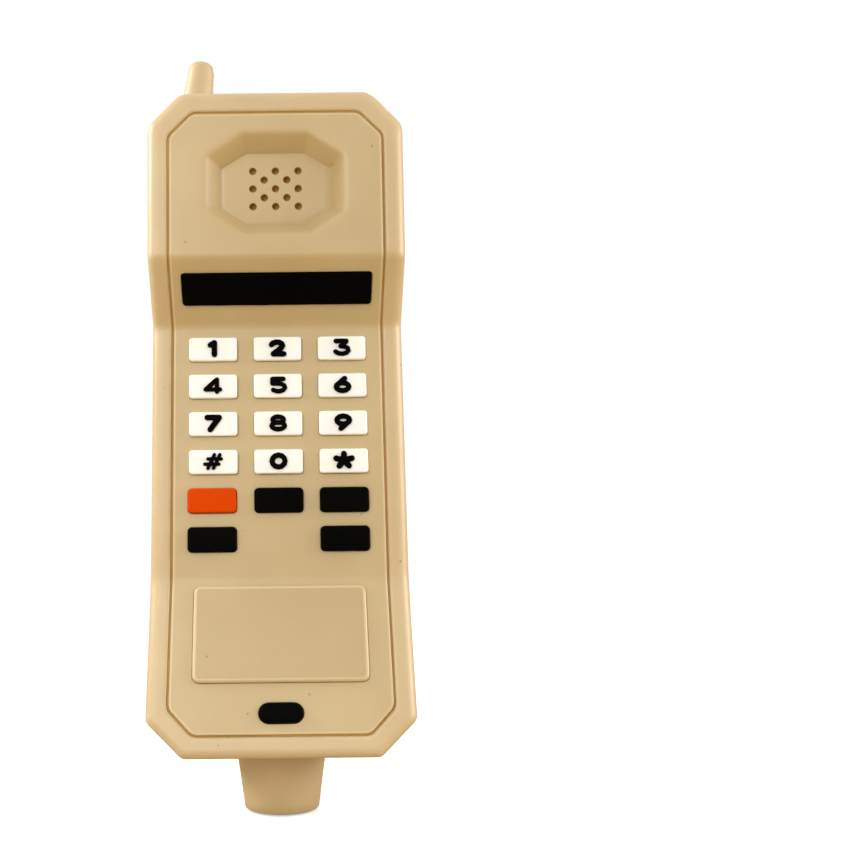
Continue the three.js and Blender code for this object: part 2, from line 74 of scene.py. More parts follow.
# Front and back heights [z, y] from the bottom up, and how softly each fold between them turns.
FRONT_POINTS = [(BODY_BOTTOM, -16.9), (CHIN_Z, -7.5), (WAIST_Z, -4.7), (BROW_Z, -12.9), (BODY_TOP, -13.3)]
FRONT_SOFTNESS = [0.7, 0.7, 0.6]
HEAD_LEAN = math.radians(8)
BACK_POINTS = [(-49.6, 11.0), (-25.0, 12.3), (18.0, 12.3), (58.3, 12.3 - 40.3 * math.tan(HEAD_LEAN))]
BACK_SOFTNESS = [3.0, 1.6]
# The end faces slope, so a point on the back lies this much above its partner on the front.
RISE_AT_BOTTOM, RISE_AT_TOP = 1.9, 3.5
FRONT_EDGE_RADIUS = 1.9
BACK_EDGE_RADIUS = 0.9
BODY_CORNER_RADIUS, EXTRA_AT_TOP = 1.7, 1.6
SIDE_SPACING = 0.6

# ---------- face plate ----------
PLATE_HALF_WIDTH, PLATE_TOP, PLATE_BOTTOM, PLATE_CUT = 17.35, 51.0, -47.85, 3.8
PLATE_THICKNESS = 2.6
GROOVE_WIDTH = 0.28
GROOVE_EDGE_RADIUS = 0.5
PLATE_EDGE_RADIUS = 0.28
PLATE_CORNER_RADIUS = 2.0
POCKET_DEPTH = 2.9
BOND_DEPTH, BOND_HEIGHT = 0.36, 1.6

# ---------- earpiece dish ----------
DISH_Z = 39.35
DISH_RIM = (22.7, 17.0, 5.9, 3.95)
DISH_FLOOR = (18.0, 11.9, 4.2, 2.55)
DISH_DEPTH, DISH_WALL = 3.2, 1.3
HOLE_RADIUS, HOLE_DEPTH = 0.58, 0.9
HOLE_PITCH_X, HOLE_PITCH_Z = 3.75, 3.0

# ---------- keys and inlays: width, height, corner radius, proud, inset, top edge radius, crown ----------
WHITE_KEY = dict(width=8.0, height=4.0, corner=0.5, proud=0.85, inset=1.2, edge=0.22, crown=0.05)
PLAIN_KEY = dict(width=7.95, height=4.05, corner=0.65, proud=0.8, inset=1.2, edge=0.28, crown=0.1)
DISPLAY = dict(width=31.2, height=5.85, corner=0.55, proud=0.4, inset=0.6, edge=0.25, crown=0.05)
LOWER_PAD = dict(width=27.6, height=15.5, corner=1.1, proud=0.6, inset=0.6, edge=0.45, crown=0.05)
MIC_PAD = dict(width=7.0, height=3.2, corner=1.59, proud=0.75, inset=0.7, edge=0.6, crown=0.12)
KEY_POCKET_DEPTH = 2.1
# How finely a key's raised character is remeshed, and how much bolder it is made.
CHARACTER_VOXEL, CHARACTER_SWELL = 0.055, 0.035
INLAY_POCKET_DEPTH = 0.9
POCKET_GAP = 0.03
POCKET_EDGE_RADIUS = 0.08

# ---------- glass bowl and its socket ----------
FLANGE_RADIUS, FLANGE_THICKNESS, FLANGE_PROUD = 15.0, 2.6, 0.5
SOCKET_RECESS_RADIUS, SOCKET_SEAT_DEPTH = 15.3, 2.4
SOCKET_BORE_RADIUS, SOCKET_FLOOR_DEPTH = 10.8, 14.4
BOWL_Z, BOWL_DEPTH, BOWL_BASE = 34.1, 11.3, 2.2
BOWL_HOLE_RADIUS, BOWL_HOLE_PITCH = 0.825, 3.25
# The rounding of each hole's edges, and how far its mouth's outer ring is from the hole.
BOWL_HOLE_EDGE, BOWL_HOLE_MOUTH = 0.34, 0.38
BOWL_SIDES = 96
BOWL_RIPPLE = 0.12

# ---------- airway, mouthpiece and antenna ----------
AIRWAY_RADIUS = 3.5
AIRWAY_END, AIRWAY_TOP = Vector((0, -1.5, -61.6)), Vector((0, 3.3, 22.0))
# How far the tool that cuts the airway runs past its two ends.
AIRWAY_PAST_END, AIRWAY_PAST_TOP = 4.0, 3.0
MOUTH_RADIUS_TOP, MOUTH_TOP_Z, MOUTH_RADIUS_TIP, MOUTH_ROUND = 8.35, -45.0, 6.0, 0.35
# Where the tube's rings turn level, and the heights of the rings in its bore.
MOUTH_LEVEL_Z, MOUTH_BORE_Z = -52.2, (-58.0, -54.0, -50.05)
ANTENNA_BASE = Vector((-14.3, 2.0, 54.5))
ANTENNA_LENGTH, ANTENNA_ROOT, ANTENNA_TIP, ANTENNA_ROUND = 12.08, 3.12, 2.3, 1.5
ANTENNA_LEAN = math.radians(7)

HANDSET = "handset"


# ---------- small geometry ----------
def ramp(t, softness):
    """A ramp that is 0 before t = 0 and t after it, with a parabola over the turn."""
    if t <= -softness:
        return 0.0
    if t >= softness:
        return t
    return (t + softness) ** 2 / (4 * softness)


def ramp_slope(t, softness):
    return min(max((t + softness) / (2 * softness), 0.0), 1.0)


def height_and_slope(z, points, softness):
    """y and dy/dz of a folded profile at height z."""
    slopes = [(b[1] - a[1]) / (b[0] - a[0]) for a, b in zip(points, points[1:])]
    y = points[0][1] + slopes[0] * (z - points[0][0])
    slope = slopes[0]
    for i, soft in enumerate(softness):
        turn = slopes[i + 1] - slopes[i]
        y += turn * ramp(z - points[i + 1][0], soft)
        slope += turn * ramp_slope(z - points[i + 1][0], soft)
    return y, slope


def front_point(x, z, depth=0.0):
    """A point on the front, or under it by depth along the surface's normal."""
    y, slope = height_and_slope(z, FRONT_POINTS, FRONT_SOFTNESS)
    size = math.hypot(1.0, slope)
    return Vector((x, y + depth / size, z - depth * slope / size))


def back_point(x, z):
    return Vector((x, height_and_slope(z, BACK_POINTS, BACK_SOFTNESS)[0], z))


def rise(z):
    share = (z - BODY_BOTTOM) / (BODY_TOP - BODY_BOTTOM)
    return RISE_AT_BOTTOM + share * (RISE_AT_TOP - RISE_AT_BOTTOM)


def through(x, z):
    """The front point, the back point and the unit step between them."""
    front = front_point(x, z)
    back = back_point(x, z + rise(z))
    return front, back, (back - front).normalized()


def octagon(low_x, high_x, low_z, high_z, low_cut, high_cut):
    """Corners of an octagon, anticlockwise from its bottom left."""
    return [
        Vector(p)
        for p in (
            (low_x + low_cut[0], low_z), (high_x - low_cut[0], low_z),
            (high_x, low_z + low_cut[1]), (high_x, high_z - high_cut[1]),
            (high_x - high_cut[0], high_z), (low_x + high_cut[0], high_z),
            (low_x, high_z - high_cut[1]), (low_x, low_z + low_cut[1]),
        )
    ]


def rectangle(width, height):
    x, z = width / 2, height / 2
    return [Vector((-x, -z)), Vector((x, -z)), Vector((x, z)), Vector((-x, z))]


def inset_corners(corners, distance):
    """A convex anticlockwise outline moved inwards by distance, or outwards if it is negative."""
    count = len(corners)
    lines = []
    for i, here in enumerate(corners):
        side = (corners[(i + 1) % count] - here).normalized()
        normal = Vector((-side.y, side.x))
        lines.append((here + normal * distance, side))
    moved = []
    for i in range(count):
        (a, along_a), (b, along_b) = lines[i - 1], lines[i]
        cross = along_a.x * along_b.y - along_a.y * along_b.x
        gap = b - a
        moved.append(a + along_a * ((gap.x * along_b.y - gap.y * along_b.x) / cross))
    return moved


def blend_corners(first, second, share):
    return [a.lerp(b, share) for a, b in zip(first, second)]


def side_counts(corners, spacing):
    count = len(corners)
    return [max(1, round((corners[(i + 1) % count] - c).length / spacing)) for i, c in enumerate(corners)]


def rounded_loop(corners, radii, steps, counts):
    """Points round a convex outline whose corners are arcs, all of one radius or each of its own."""
    count = len(corners)
    if not isinstance(radii, list):
        radii = [radii] * count
    arcs = []
    for i, (here, radius) in enumerate(zip(corners, radii)):
        back = (corners[i - 1] - here).normalized()
        ahead = (corners[(i + 1) % count] - here).normalized()
        half = back.angle(ahead) / 2
        centre = here + (back + ahead).normalized() * (radius / math.sin(half))
        start = here + back * (radius / math.tan(half)) - centre
        sweep = math.pi - 2 * half
        first = math.atan2(start.y, start.x)
        angles = [first + sweep * k / steps for k in range(steps + 1)]
        arcs.append([centre + radius * Vector((math.cos(a), math.sin(a))) for a in angles])
    points = []
    for i, arc in enumerate(arcs):
        points += arc
        following = arcs[(i + 1) % count][0]
        points += [arc[-1].lerp(following, k / counts[i]) for k in range(1, counts[i])]
    return points


def quarter_turn(radius, steps=5):
    """(inset, drop) pairs from a flat top round a quarter circle to the wall below it."""
    angles = [math.pi / 2 * k / steps for k in range(steps + 1)]
    return [(radius * (1 - math.sin(a)), radius * (1 - math.cos(a))) for a in angles]


# ---------- mesh making ----------
class Pieces:
    """Vertices in millimetres, each with a flat plan point, and faces with a material number."""

    def __init__(self):
        self.points, self.plans, self.faces, self.tags = [], [], [], []

    def ring(self, points, plans=None):
        first = len(self.points)
        self.points += [Vector(p) for p in points]
        self.plans += [Vector(p[:2]) for p in (plans or points)]
        return list(range(first, len(self.points)))

    def bridge(self, ring_a, ring_b, tag=0):
        count = len(ring_a)
        for i in range(count):
            j = (i + 1) % count
            self.faces.append((ring_a[i], ring_a[j], ring_b[j], ring_b[i]))
            self.tags.append(tag)

    def chain(self, rings, tag=0):
        for ring_a, ring_b in zip(rings, rings[1:]):
            self.bridge(ring_a, ring_b, tag)

    def cap(self, ring, tag=0):
        self.faces.append(tuple(ring))
        self.tags.append(tag)

    def fill(self, loops, columns, rows, place, tag=0):
        """Triangles inside the first loop and outside the others, with inner points where columns and rows
        cross. place turns a plan point into a point of the mesh."""
        outlines = [np.array([self.plans[i][:] for i in loop]) for loop in loops]
        grid = np.array([(x, z) for z in rows for x in columns])
        keep = inside(outlines[0], grid)
        for hole in outlines[1:]:
            keep &= ~inside(hole, grid)
        grid = grid[keep]
        clear = 0.55 * min(np.diff(sorted(columns)).max(), 1.0)
        tree = point_tree(np.concatenate(outlines))
        grid = [g for g in grid if tree.find((g[0], g[1], 0))[2] > clear]
        numbers = [i for loop in loops for i in loop]
        numbers += self.ring([place(*g) for g in grid], [Vector(g) for g in grid]) if grid else []
        edges, start = [], 0
        for loop in loops:
            edges += [(start + i, start + (i + 1) % len(loop)) for i in range(len(loop))]
            start += len(loop)
        flat = [self.plans[i].copy() for i in numbers]
        made = geometry.delaunay_2d_cdt(flat, edges, [], 0, 1e-7)
        where, triangles, origin = made[0], made[2], made[3]
        middles = np.array([[sum(where[k][c] for k in t) / 3 for c in (0, 1)] for t in triangles])
        wanted = inside(outlines[0], middles)
        for hole in outlines[1:]:
            wanted &= ~inside(hole, middles)
        for triangle, good in zip(triangles, wanted):
            if good:
                self.faces.append(tuple(numbers[origin[k][0]] for k in triangle))
                self.tags.append(tag)

    def to_object(self, name, materials, place=Matrix.Identity(4)):
        mesh = bpy.data.meshes.new(name)
        mesh.from_pydata([(place @ p) * MM for p in self.points], [], self.faces)
        for material in materials:
            mesh.materials.append(material)
        mesh.polygons.foreach_set("material_index", self.tags)
        mesh.polygons.foreach_set("use_smooth", [True] * len(mesh.polygons))
        work = bmesh.new()
        work.from_mesh(mesh)
        bmesh.ops.recalc_face_normals(work, faces=work.faces)
        work.to_mesh(mesh)
        work.free()
        piece = bpy.data.objects.new(name, mesh)
        bpy.context.scene.collection.objects.link(piece)
        return piece


def inside(outline, points):
    """Which points lie inside a closed outline."""
    x, y = points[:, 0], points[:, 1]
    result = np.zeros(len(points), bool)
    for (x1, y1), (x2, y2) in zip(outline, np.roll(outline, -1, axis=0)):
        crosses = (y1 > y) != (y2 > y)
        with np.errstate(divide="ignore", invalid="ignore"):
            at = (x2 - x1) * (y - y1) / (y2 - y1) + x1
        result ^= crosses & (x < at)
    return result


def point_tree(points):
    """A search tree over flat points."""
    tree = kdtree.KDTree(len(points))
    for number, point in enumerate(points):
        tree.insert((point[0], point[1], 0), number)
    tree.balance()
    return tree


def spread(low, high, spacing):
    """Evenly spaced values strictly between two limits."""
    count = max(2, round((high - low) / spacing))
    return [low + (high - low) * k / count for k in range(1, count)]


def rows_with_folds(low, high, spacing, points, softness):
    """Row heights that are close together over each fold."""
    rows = spread(low, high, spacing)
    for (z, _), soft in zip(points[1:-1], softness):
        rows = [r for r in rows if abs(r - z) > soft]
        rows += [z + soft * k / 4 for k in range(-4, 5)]
    return sorted(rows)


def finish_piece(piece, body, slot, *nodes):
    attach(piece, body)
    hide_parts(*nodes)
    return piece


# ---------- materials ----------
def new_material(name):
    material = bpy.data.materials.new(name)
    material.use_nodes = True
    nodes = material.node_tree.nodes
    return material, nodes, material.node_tree.links, nodes["Principled BSDF"]


def noise_node(nodes, links, scale, detail, roughness=0.5):
    node = nodes.new("ShaderNodeTexNoise")
    node.inputs["Scale"].default_value = scale
    node.inputs["Detail"].default_value = detail
    node.inputs["Roughness"].default_value = roughness
    coordinates = nodes.new("ShaderNodeTexCoord")
    links.new(coordinates.outputs["Object"], node.inputs["Vector"])
    return node


def colour_ramp(nodes, links, source, stops):
    """A ramp of (position, colour) stops driven by source."""
    node = nodes.new("ShaderNodeValToRGB")
    elements = node.color_ramp.elements
    while len(elements) < len(stops):
        elements.new(0.5)
    for element, (position, colour) in zip(elements, stops):
        element.position = position
        element.color = (*colour, 1)
    links.new(source, node.inputs["Fac"])
    return node


def mixed(nodes, links, factor, first, second):
    """Colour mix of two sockets or constant colours by a factor socket."""
    node = nodes.new("ShaderNodeMix")
    node.data_type = "RGBA"
    links.new(factor, node.inputs["Factor"])
    for socket, value in ((node.inputs["A"], first), (node.inputs["B"], second)):
        if isinstance(value, tuple):
            socket.default_value = (*value, 1)
        else:
            links.new(value, socket)
    return node.outputs["Result"]


def speck_mask(nodes, links):
    """A few tiny round specks, 1 where there is one."""
    cells = nodes.new("ShaderNodeTexVoronoi")
    cells.inputs["Scale"].default_value = 190
    coordinates = nodes.new("ShaderNodeTexCoord")
    links.new(coordinates.outputs["Object"], cells.inputs["Vector"])
    spots = colour_ramp(nodes, links, cells.outputs["Distance"], [(0.03, (1, 1, 1)), (0.046, (0, 0, 0))])
    return spots.outputs["Color"]


def silicone(name, light, dark, speck, roughness, bump, depth_mm, specular, sheen=0.0):
    """Satin moulded silicone: cloudy colour, a few dark specks, fine grain, and light that sinks in."""
    material, nodes, links, shader = new_material(name)
    clouds = noise_node(nodes, links, 45, 3, 0.55)
    base = colour_ramp(nodes, links, clouds.outputs["Fac"], [(0.32, dark), (0.68, light)])
    colour = mixed(nodes, links, speck_mask(nodes, links), base.outputs["Color"], speck)
    links.new(colour, shader.inputs["Base Color"])
    smears = noise_node(nodes, links, 160, 4, 0.6)
    gloss = nodes.new("ShaderNodeMapRange")
    gloss.inputs["To Min"].default_value = roughness - 0.07
    gloss.inputs["To Max"].default_value = roughness + 0.09
    links.new(smears.outputs["Fac"], gloss.inputs["Value"])
    links.new(gloss.outputs["Result"], shader.inputs["Roughness"])
    grain = noise_node(nodes, links, 2600, 2, 0.6)
    waves = noise_node(nodes, links, 220, 2, 0.5)
    fine = nodes.new("ShaderNodeBump")
    fine.inputs["Strength"].default_value = bump
    fine.inputs["Distance"].default_value = 0.00003
    links.new(grain.outputs["Fac"], fine.inputs["Height"])
    broad = nodes.new("ShaderNodeBump")
    broad.inputs["Strength"].default_value = bump
    broad.inputs["Distance"].default_value = 0.00012
    links.new(waves.outputs["Fac"], broad.inputs["Height"])
    links.new(fine.outputs["Normal"], broad.inputs["Normal"])
    links.new(broad.outputs["Normal"], shader.inputs["Normal"])
    shader.inputs["Subsurface Weight"].default_value = 0.22 if depth_mm else 0.0
    shader.inputs["Subsurface Radius"].default_value = (1.0, 0.55, 0.3)
    shader.inputs["Subsurface Scale"].default_value = max(depth_mm, 0.1) * MM
    shader.inputs["Specular IOR Level"].default_value = specular
    shader.inputs["Sheen Weight"].default_value = sheen
    shader.inputs["Sheen Roughness"].default_value = 0.45
    return material


def paint_shade_round(material, centre, near, far, colour):
    """Painted shade: browns a silicone between two distances in mm from a point, most at the nearer one."""
    nodes, links = material.node_tree.nodes, material.node_tree.links
    base = nodes["Principled BSDF"].inputs["Base Color"]
    coordinates = nodes.new("ShaderNodeTexCoord")
    distance = nodes.new("ShaderNodeVectorMath")
    distance.operation = "DISTANCE"
    distance.inputs[1].default_value = centre * MM
    links.new(coordinates.outputs["Object"], distance.inputs[0])
    fade = nodes.new("ShaderNodeMapRange")
    fade.interpolation_type = "SMOOTHSTEP"
    fade.inputs["From Min"].default_value = near * MM
    fade.inputs["From Max"].default_value = far * MM
    fade.inputs["To Min"].default_value = 1.0
    fade.inputs["To Max"].default_value = 0.0
    links.new(distance.outputs["Value"], fade.inputs["Value"])
    plain = base.links[0].from_socket
    links.new(mixed(nodes, links, fade.outputs["Result"], plain, colour), base)


def glass():
    """Clear pressed glass with faint ripples."""
    material, nodes, links, shader = new_material("bowl_glass")
    shader.inputs["Base Color"].default_value = (0.99, 0.985, 0.965, 1)
    shader.inputs["Roughness"].default_value = 0.0
    shader.inputs["IOR"].default_value = 1.47
    shader.inputs["Transmission Weight"].default_value = 1.0
    ripples = noise_node(nodes, links, 190, 2, 0.5)
    bump = nodes.new("ShaderNodeBump")
    bump.inputs["Strength"].default_value = 0.25
    bump.inputs["Distance"].default_value = 0.0002
    links.new(ripples.outputs["Fac"], bump.inputs["Height"])
    links.new(bump.outputs["Normal"], shader.inputs["Normal"])
    return material


# Each colour: light, dark and speck, then roughness, grain, how deep light sinks in mm, specular level
# and, where it has one, sheen.
# The shell's beige is the plate's silicone painted lighter, as painted light on the ring round the face
# plate; the mouthpiece and antenna use it too.
SHELL_BEIGE_PAINTED_LIGHTER = silicone(
    "silicone_beige_shell_painted_lighter", (0.62, 0.475, 0.25), (0.57, 0.425, 0.215), (0.42, 0.25, 0.09),
    0.46, 0.35, 3.0, 1.0, 0.12)
PLATE_BEIGE = silicone(
    "silicone_beige_plate", (0.575, 0.435, 0.21), (0.525, 0.385, 0.175), (0.40, 0.24, 0.08),
    0.46, 0.35, 3.0, 1.0, 0.08)
PAD_BEIGE = silicone(
    "silicone_beige_pad", (0.525, 0.385, 0.18), (0.48, 0.345, 0.15), (0.38, 0.22, 0.08),
    0.46, 0.35, 3.0, 1.0, 0.08)
# A lighter beige laid on the plate's rounded edge and the lower pad's bevel: a painted highlight along those
# edges.
EDGE_PAINTED_HIGHLIGHT = silicone(
    "silicone_beige_painted_highlight", (0.65, 0.51, 0.27), (0.61, 0.46, 0.23), (0.42, 0.25, 0.09),
    0.42, 0.2, 3.0, 1.0, 0.15)
# The seat under the glass flange is a lighter beige than the shell: painted light there.
SEAT_PAINTED_LIGHT = silicone(
    "silicone_seat_painted_light", (0.70, 0.50, 0.25), (0.65, 0.455, 0.22), (0.42, 0.25, 0.09),
    0.5, 0.2, 3.0, 0.6)
# Darker brown on the walls and floors of the earpiece holes: painted shade in those holes.
HOLE_PAINTED_SHADE = silicone(
    "silicone_hole_painted_shade", (0.44, 0.26, 0.08), (0.32, 0.17, 0.05), (0.1, 0.04, 0.01),
    0.7, 0.2, 0.0, 0.3)
# Darker brown on the socket's bore and floor deep under the bowl: painted shade there.
SOCKET_PAINTED_SHADE = silicone(
    "silicone_socket_painted_shade", (0.60, 0.36, 0.12), (0.50, 0.28, 0.08), (0.3, 0.15, 0.04),
    0.55, 0.3, 1.0, 0.3)
BOND_BROWN = silicone(
    "bond_adhesive", (0.62, 0.34, 0.07), (0.46, 0.22, 0.04), (0.25, 0.1, 0.02),
    0.45, 0.5, 1.0, 0.5)
BLACK = silicone(
    "silicone_black", (0.002, 0.002, 0.0018), (0.001, 0.001, 0.001), (0.02, 0.02, 0.018),
    0.5, 0.5, 0.0, 0.02)
WHITE = silicone(
    "silicone_white", (1.0, 0.995, 0.94), (0.98, 0.975, 0.91), (0.9, 0.88, 0.78),
    0.45, 0.2, 1.5, 1.0)
ORANGE = silicone(
    "silicone_orange", (0.72, 0.065, 0.0), (0.67, 0.055, 0.0), (0.55, 0.04, 0.0),
    0.5, 0.3, 1.0, 0.03)
GLASS = glass()
# The painted shade, a brown tinge round the bowl's socket, and how many mm it reaches out.
PAINTED_SOCKET_SHADE, PAINTED_SOCKET_SHADE_WIDTH = (0.36, 0.2, 0.05), 1.8


# ---------- shell ----------
def body_corners():
    x = BODY_WIDTH / 2
    return octagon(-x, x, BODY_BOTTOM, BODY_TOP, BOTTOM_CORNER, TOP_CORNER)


def plate_corners(grow=0.0):
    cut = (PLATE_CUT, PLATE_CUT)
    plain = octagon(-PLATE_HALF_WIDTH, PLATE_HALF_WIDTH, PLATE_BOTTOM, PLATE_TOP, cut, cut)
    return inset_corners(plain, -grow)


SIDE_COUNTS = side_counts(body_corners(), SIDE_SPACING)
CORNER_STEPS = 8


def outline_loop(corners, radius, extra_at_top=0.0):
    radii = [radius + (extra_at_top if c.y > 0 else 0.0) for c in corners]
    return rounded_loop(corners, radii, CORNER_STEPS, SIDE_COUNTS)


def front_ring(parts, corners, radius, depth, extra_at_top=0.0):
    """A ring under the front face, with depth measured along the side walls."""
    flat = outline_loop(corners, radius, extra_at_top)
    points = []
    for p in flat:
        front, _, step = through(p.x, p.y)
        points.append(front + step * depth)
    return parts.ring(points, flat)


def back_ring(parts, corners, radius, depth):
    flat = outline_loop(corners, radius, EXTRA_AT_TOP)
    points = []
    for p in flat:
        _, back, step = through(p.x, p.y)
        points.append(back - step * depth)
    return parts.ring(points, [Vector((p.x, p.y + rise(p.y))) for p in flat])


def wall_ring(parts, share):
    """A ring on the side wall, a share of the way from the front fillet to the back one."""
    flat = outline_loop(body_corners(), BODY_CORNER_RADIUS, EXTRA_AT_TOP)
    points = []
    for p in flat:
        front, back, step = through(p.x, p.y)
        low, high = front + step * FRONT_EDGE_RADIUS, back - step * BACK_EDGE_RADIUS
        points.append(low.lerp(high, share))
    return parts.ring(points, flat)


def bowl_matrix():
    """Local Z runs out of the bowl's socket and the origin is on the head's back face."""
    axis = Vector(next(j["axis"] for j in frame["joints"] if j["name"] == "bowl_lift")).normalized()
    origin = back_point(0, BOWL_Z)
    right = Vector((-1, 0, 0))
    up = axis.cross(right)
    turn = Matrix((right, up, axis)).transposed().to_4x4()
    return Matrix.Translation(origin) @ turn


def circle(radius, sides, z=0.0):
    angles = [2 * math.pi * k / sides for k in range(sides)]
    return [Vector((radius * math.cos(a), radius * math.sin(a), z)) for a in angles]


def socket_rings(parts):
    """Rings of the bowl's socket, from its rounded mouth down to its floor."""
    place = bowl_matrix()
    edge = 0.35
    recess, bore = SOCKET_RECESS_RADIUS, SOCKET_BORE_RADIUS
    seat, floor = SOCKET_SEAT_DEPTH, SOCKET_FLOOR_DEPTH
    profile = [(recess + edge + 0.2, 0.0)]
    profile += [(recess + inset, drop) for inset, drop in quarter_turn(edge)]
    profile += [(recess, seat - 0.2), (recess - 0.2, seat)]
    profile += [(bore + 0.3, seat), (bore, seat + 0.3)]
    profile += [(bore, floor - 0.8), (bore - 0.8, floor), (5.0, floor)]
    rings = []
    for radius, depth in profile:
        points = [place @ p for p in circle(radius, BOWL_SIDES, -depth)]
        rings.append(parts.ring(points, [Vector((p.x, p.z)) for p in points]))
    return rings


def airway_cutter():
    parts = Pieces()
    along = (AIRWAY_TOP - AIRWAY_END).normalized()
    turn = along.to_track_quat("Z", "Y").to_matrix().to_4x4()
    place = Matrix.Translation(AIRWAY_END) @ turn
    length = (AIRWAY_TOP - AIRWAY_END).length + AIRWAY_PAST_TOP
    levels = (-AIRWAY_PAST_END, length)
    rings = [parts.ring([place @ p for p in circle(AIRWAY_RADIUS, 48, z)]) for z in levels]
    parts.chain(rings)
    parts.cap(rings[0])
    parts.cap(rings[1])
    return parts.to_object("airway_cutter", [])


def cut_out(piece, cutter):
    """Takes the cutter's shape out of a piece and deletes the cutter."""
    modifier = piece.modifiers.new("cut", "BOOLEAN")
    modifier.object = cutter
    modifier.solver = "EXACT"
    bpy.context.view_layer.update()
    graph = bpy.context.evaluated_depsgraph_get()
    mesh = bpy.data.meshes.new_from_object(piece.evaluated_get(graph))
    piece.modifiers.clear()
    piece.data = mesh
    bpy.data.objects.remove(cutter)


def make_shell():
    parts = Pieces()
    pocket = plate_corners(GROOVE_WIDTH)
    outer = body_corners()
    rings = [front_ring(parts, pocket, PLATE_CORNER_RADIUS, POCKET_DEPTH)]
    floor = rings[0]
    for inset, drop in reversed(quarter_turn(GROOVE_EDGE_RADIUS, 4)):
        corners = inset_corners(pocket, -inset)
        rings.append(front_ring(parts, corners, PLATE_CORNER_RADIUS + inset, drop))
    crest = inset_corners(pocket, -GROOVE_EDGE_RADIUS - 0.12)
    rings.append(front_ring(parts, crest, PLATE_CORNER_RADIUS + 0.3, 0.0))
    shoulder = inset_corners(outer, FRONT_EDGE_RADIUS + 0.1)
    rings.append(front_ring(parts, shoulder, BODY_CORNER_RADIUS - 0.2, 0.0, EXTRA_AT_TOP))
    for inset, drop in quarter_turn(FRONT_EDGE_RADIUS, 9):
        radius = BODY_CORNER_RADIUS - 0.2 * inset / FRONT_EDGE_RADIUS
        rings.append(front_ring(parts, inset_corners(outer, inset), radius, drop, EXTRA_AT_TOP))
    rings += [wall_ring(parts, k / 12) for k in range(1, 12)]
    for inset, drop in reversed(quarter_turn(BACK_EDGE_RADIUS, 6)):
        rings.append(back_ring(parts, inset_corners(outer, inset), BODY_CORNER_RADIUS - 0.3 * inset, drop))
    rings.append(back_ring(parts, inset_corners(outer, BACK_EDGE_RADIUS + 0.15), 1.0, 0.0))
    parts.chain(rings)
    columns = spread(-BODY_WIDTH / 2, BODY_WIDTH / 2, 1.0)
    rows = rows_with_folds(BODY_BOTTOM, BODY_TOP, 1.0, FRONT_POINTS, FRONT_SOFTNESS)
    recess = dish_back(parts, POCKET_DEPTH, 0.3)
    parts.fill([floor, recess], columns, rows, lambda x, z: front_point(x, z, POCKET_DEPTH))
    socket = socket_rings(parts)
    parts.chain(socket[:7])
    # The seat ring is painted lighter: painted light under the glass flange.
    parts.chain(socket[6:-4], 2)
    # The bore and its floor are painted darker brown: painted shade deep in the socket.
    parts.chain(socket[-5:], 1)
    parts.cap(socket[-1], 1)
    rows = rows_with_folds(BODY_BOTTOM, BODY_TOP + RISE_AT_TOP, 1.0, BACK_POINTS, BACK_SOFTNESS)
    parts.fill([rings[-1], socket[0]], columns, rows, back_point)
    # Painted shade: a brown tinge on the shell round the socket's mouth, where the glass flange sits.
    rim = SOCKET_RECESS_RADIUS
    paint_shade_round(SHELL_BEIGE_PAINTED_LIGHTER, back_point(0, BOWL_Z), rim, rim + PAINTED_SOCKET_SHADE_WIDTH, PAINTED_SOCKET_SHADE)
    # The shell takes the beige painted lighter than the plate's, as painted light.
    shell = parts.to_object("shell_moulding", [SHELL_BEIGE_PAINTED_LIGHTER, SOCKET_PAINTED_SHADE, SEAT_PAINTED_LIGHT])
    cut_out(shell, airway_cutter())
    return finish_piece(shell, HANDSET, "silicone_beige", "shell")


# ---------- face plate ----------
def pocket_on_front(parts, x, z, spec, depth, tag=0):
    """Rings of a pocket with rounded corners and a rounded mouth. Returns its mouth."""
    corners = rectangle(spec["width"], spec["height"])
    counts = side_counts(corners, 0.8)
    shorter = face_cosine(z)
    profile = [(-POCKET_GAP - POCKET_EDGE_RADIUS - 0.1, 0.0)]
    profile += [(-POCKET_GAP - inset, drop) for inset, drop in quarter_turn(POCKET_EDGE_RADIUS, 3)]
    profile += [(-POCKET_GAP, depth)]
    rings = []
    for inset, drop in profile:
        local = rounded_loop(inset_corners(corners, inset), spec["corner"] - inset, 5, counts)
        flat = [Vector((x + p.x, z + p.y * shorter)) for p in local]
        rings.append(parts.ring([front_point(p.x, p.y, drop) for p in flat], flat))
    parts.chain(rings, tag)
    parts.cap(rings[-1], tag)
    return rings[0]


def face_cosine(z):
    """How much shorter a length up the front looks from straight ahead."""
    return 1 / math.hypot(1.0, height_and_slope(z, FRONT_POINTS, FRONT_SOFTNESS)[1])


def dish_corners(size):
    width, height, cut_x, cut_z = size
    x, z = width / 2, height / 2
    cut = (cut_x, cut_z)
    return octagon(-x, x, DISH_Z - z, DISH_Z + z, cut, cut)


def dish_back(parts, depth, gap):
    """The outside of the dish's wall behind the plate, or with a gap the shell's recess for it. Returns its
    rim."""
    rim, floor = dish_corners(DISH_RIM), dish_corners(DISH_FLOOR)
    counts = side_counts(rim, 0.9)
    at_depth = inset_corners(blend_corners(rim, floor, depth / DISH_DEPTH), -DISH_WALL - gap)
    at_bottom = inset_corners(floor, -DISH_WALL - gap)
    rings = []
    for corners, level in ((at_depth, depth), (at_bottom, DISH_DEPTH + DISH_WALL + gap)):
        flat = rounded_loop(corners, 1.2, 6, counts)
        rings.append(parts.ring([front_point(p.x, p.y, level) for p in flat], flat))
    parts.chain(rings)
    parts.cap(rings[-1])
    return rings[0]


